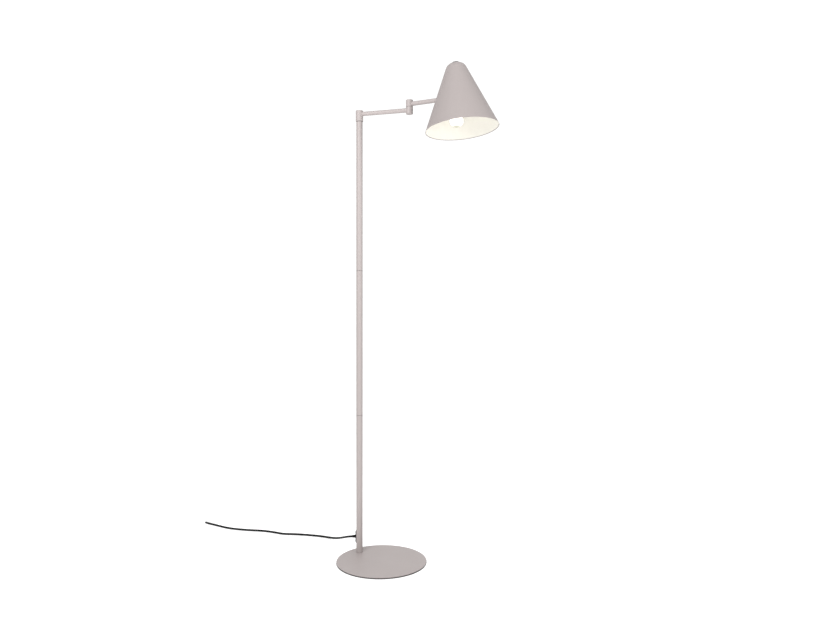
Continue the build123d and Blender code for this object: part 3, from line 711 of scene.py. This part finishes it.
def make_lampholder():
    """A moulded lampholder: a fluted skirt, a grooved collar, a round shoulder and a short neck."""
    low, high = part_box("lampholder")
    stem_low, stem_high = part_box("stem_tube")
    base = Vector(((stem_low.x + stem_high.x) / 2, (stem_low.y + stem_high.y) / 2, low.z))
    radius = (high.x - low.x) / 2
    height = high.z - low.z
    shoulder = height - HOLDER_NECK_LENGTH
    waist = radius - HOLDER_GROOVE
    skirt_low, skirt_high = HOLDER_SKIRT
    collar_low, collar_high = HOLDER_COLLAR
    outline = [
        (0, HOLDER_BORE_DEPTH),
        (HOLDER_BORE, HOLDER_BORE_DEPTH),
        (HOLDER_BORE, 0),
        (radius - HOLDER_EDGE, 0),
        (radius, HOLDER_EDGE),
        *((radius, skirt_low + (skirt_high - skirt_low) * k / 12) for k in range(13)),
        (waist, skirt_high + 0.0008),
        (waist, collar_low - 0.0008),
        (radius, collar_low),
        (radius, collar_high),
        (waist, collar_high + 0.0008),
        *arc(
            (waist - HOLDER_SHOULDER_RADIUS, shoulder - HOLDER_SHOULDER_RADIUS),
            HOLDER_SHOULDER_RADIUS, 0, 90, 10,
        ),
        (HOLDER_NECK_RADIUS, shoulder),
        (HOLDER_NECK_RADIUS, height),
        (0, height),
    ]

    def flute(reach, along_it, angle):
        """Shallow flutes, only on the skirt."""
        if reach < radius - 1e-6 or not skirt_low - 1e-4 < along_it < skirt_high + 1e-4:
            return reach
        return reach - HOLDER_FLUTE_DEPTH * (0.5 - 0.5 * math.cos(HOLDER_FLUTES * angle)) ** 2

    place = straight(base, Vector((0, 0, 1)))
    holder = turned("lampholder_body", outline, place, "second_arm", [holder_white], 240, 40, flute)
    stands_for(holder, "lampholder")


make_lampholder()

# ---------------------------------------------------------------- seals in the pole's two seams
SEAL_HALF_HEIGHT = 0.00055
SEAL_RECESS = 0.00005
SEAL_DEPTH = 0.0007
SEAL_ROOT = 0.0002


def make_seam_seal(name, height):
    """A thin rubber ring in the groove where two lengths of the pole meet."""
    low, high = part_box("middle_pole")
    axis = Vector(((low.x + high.x) / 2, (low.y + high.y) / 2, height))
    radius = (high.x - low.x) / 2
    bulge = arc((radius - SEAL_HALF_HEIGHT, 0), SEAL_HALF_HEIGHT - SEAL_RECESS, -80, 80, 8)
    outline = [(radius - SEAL_DEPTH, -SEAL_ROOT), *bulge, (radius - SEAL_DEPTH, SEAL_ROOT)]
    seal = turned(name, outline, straight(axis, Vector((0, 0, 1))), "stand", [rubber], 96)


make_seam_seal("lower_seam_seal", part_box("middle_pole")[0].z)
make_seam_seal("upper_seam_seal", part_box("middle_pole")[1].z)

# ---------------------------------------------------------------- floor, light and camera
VIEW_AZIMUTH = math.radians(45)
CAMERA_TO_BASE = 1.894
CAMERA_ASIDE = 0.0853
CAMERA_HEIGHT = 0.692
LENS_MM = 30.02
SKY_STRENGTH = 1.08
SIDE_LIGHT = 0.12
FRONT_LIGHT = 0.55
FLOOR_HALF_SIZE = 30.0
FLOOR_GAP = 0.0002
RIDGE_FOOT = 0.335
RIDGE_THICK = 0.06
RIDGE_HEIGHT = 0.078
RIDGE_LENGTH = 0.42
RIDGE_ASIDE = -0.58
LIGHT_TARGET = Vector((0, 0, 1.1))

view_right = Vector((math.cos(VIEW_AZIMUTH), math.sin(VIEW_AZIMUTH), 0))
view_forward = Vector((-math.sin(VIEW_AZIMUTH), math.cos(VIEW_AZIMUTH), 0))


def stage_material(name, color, roughness, glow):
    """Matt paper that glows a little, as a lit backdrop does."""
    made, shader = material(name, color, roughness)
    shader.inputs["Emission Color"].default_value = (1, 1, 1, 1)
    shader.inputs["Emission Strength"].default_value = glow
    paper = noise(made, 40, 3)
    tint = ramp(made, paper.outputs["Fac"], 0.3, 0.7, shaded(color, 0.995), color)
    link(made, tint, shader.inputs["Base Color"])
    return made


floor_white = stage_material("studio_floor_paper", (0.8, 0.8, 0.8), 0.8, 0.48)
ridge_white = stage_material("studio_ridge_paper", (0.85, 0.85, 0.85), 0.8, 0.2)


def make_floor():
    """A wide sheet of paper, a hair below the lamp so that their faces don't coincide."""
    bm = bmesh.new()
    bmesh.ops.create_grid(bm, x_segments=2, y_segments=2, size=FLOOR_HALF_SIZE)
    mesh = mesh_from("studio_floor", bm)
    mesh.materials.append(floor_white)
    floor = added("studio_floor", mesh)
    floor.location.z = -FLOOR_GAP


def make_ridge():
    """A low ridge in the studio's paper. The part of the lead that is put away lies behind it."""
    half_thick, half_long, taper = RIDGE_THICK / 2, RIDGE_LENGTH / 2, RIDGE_LENGTH / 3
    across_steps, along_steps = 32, 72
    bm = bmesh.new()
    rows = []
    for i in range(across_steps + 1):
        s = 2 * i / across_steps - 1
        lift = (1 - s * s) ** 2
        row = []
        for j in range(along_steps + 1):
            t = half_long * (2 * j / along_steps - 1)
            fade = eased(min(1.0, (half_long - abs(t)) / taper))
            row.append(bm.verts.new((t, s * half_thick, RIDGE_HEIGHT * lift * fade)))
        rows.append(row)
    skinned(bm, rows, False)
    mesh = mesh_from("studio_ridge", bm)
    mesh.shade_smooth()
    mesh.materials.append(ridge_white)
    ridge = added("studio_ridge", mesh)
    ridge.rotation_euler.z = VIEW_AZIMUTH
    ridge.location = from_view(RIDGE_ASIDE, RIDGE_FOOT + half_thick, -FLOOR_GAP / 2)


def area_light(name, place, size, power):
    """A square soft light that points at the middle of the lamp's upper half."""
    data = bpy.data.lights.new(name, "AREA")
    data.size = size
    data.energy = power
    light = added(name, data)
    light.location = place
    light.rotation_euler = (LIGHT_TARGET - place).to_track_quat("-Z", "Y").to_euler()


def from_view(right, forward, up):
    """A point given as the camera sees it: metres to the right of, behind and above the base."""
    return view_right * right + view_forward * forward + Vector((0, 0, up))


def make_light():
    """A white studio whose sides, and a little its front, give less light than its back."""
    world = bpy.data.worlds.new("studio")
    bpy.context.scene.world = world
    world.use_nodes = True
    tree = world.node_tree
    sky = tree.nodes["Background"]
    sky.inputs["Strength"].default_value = SKY_STRENGTH
    place = tree.nodes.new("ShaderNodeTexCoord")
    turn = tree.nodes.new("ShaderNodeMapping")
    turn.inputs["Rotation"].default_value = (0, 0, -VIEW_AZIMUTH)
    split = tree.nodes.new("ShaderNodeSeparateXYZ")
    away = tree.nodes.new("ShaderNodeMath")
    away.operation = "ABSOLUTE"
    flags = tree.nodes.new("ShaderNodeValToRGB")
    lit_middle, dark_side = flags.color_ramp.elements
    lit_middle.position, lit_middle.color = 0.56, (1, 1, 1, 1)
    dark_side.position, dark_side.color = 0.76, (*[SIDE_LIGHT] * 3, 1)
    tree.links.new(place.outputs["Generated"], turn.inputs["Vector"])
    tree.links.new(turn.outputs["Vector"], split.inputs["Vector"])
    tree.links.new(split.outputs["X"], away.inputs[0])
    tree.links.new(away.outputs["Value"], flags.inputs["Fac"])
    front = tree.nodes.new("ShaderNodeMapRange")
    front.inputs["From Min"].default_value = -0.6
    front.inputs["From Max"].default_value = 0.2
    front.inputs["To Min"].default_value = FRONT_LIGHT
    both = tree.nodes.new("ShaderNodeVectorMath")
    both.operation = "SCALE"
    tree.links.new(split.outputs["Y"], front.inputs["Value"])
    tree.links.new(flags.outputs["Color"], both.inputs[0])
    tree.links.new(front.outputs["Result"], both.inputs["Scale"])
    seen = tree.nodes.new("ShaderNodeLightPath")
    fac, studio, backdrop, mixed = color_mix(tree)
    backdrop.default_value = (1, 1, 1, 1)
    tree.links.new(seen.outputs["Is Camera Ray"], fac)
    tree.links.new(both.outputs["Vector"], studio)
    tree.links.new(mixed, sky.inputs["Color"])
    area_light("key", from_view(-0.8, -1.7, 1.8), 1.3, 40)
    area_light("fill", from_view(1.5, -0.9, 1.3), 0.9, 13)


def make_camera():
    """A level camera at the photograph's angle, half way up the lamp."""
    data = bpy.data.cameras.new("camera")
    data.lens = LENS_MM
    data.sensor_width = 36
    camera = added("camera", data)
    base_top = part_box("base_plate")[1].z
    camera.location = from_view(CAMERA_ASIDE, -CAMERA_TO_BASE, CAMERA_HEIGHT + base_top)
    camera.rotation_euler = (math.radians(90), 0, VIEW_AZIMUTH)
    bpy.context.scene.camera = camera


make_floor()
make_ridge()
make_light()
make_camera()
bpy.context.scene.view_settings.view_transform = "Standard"
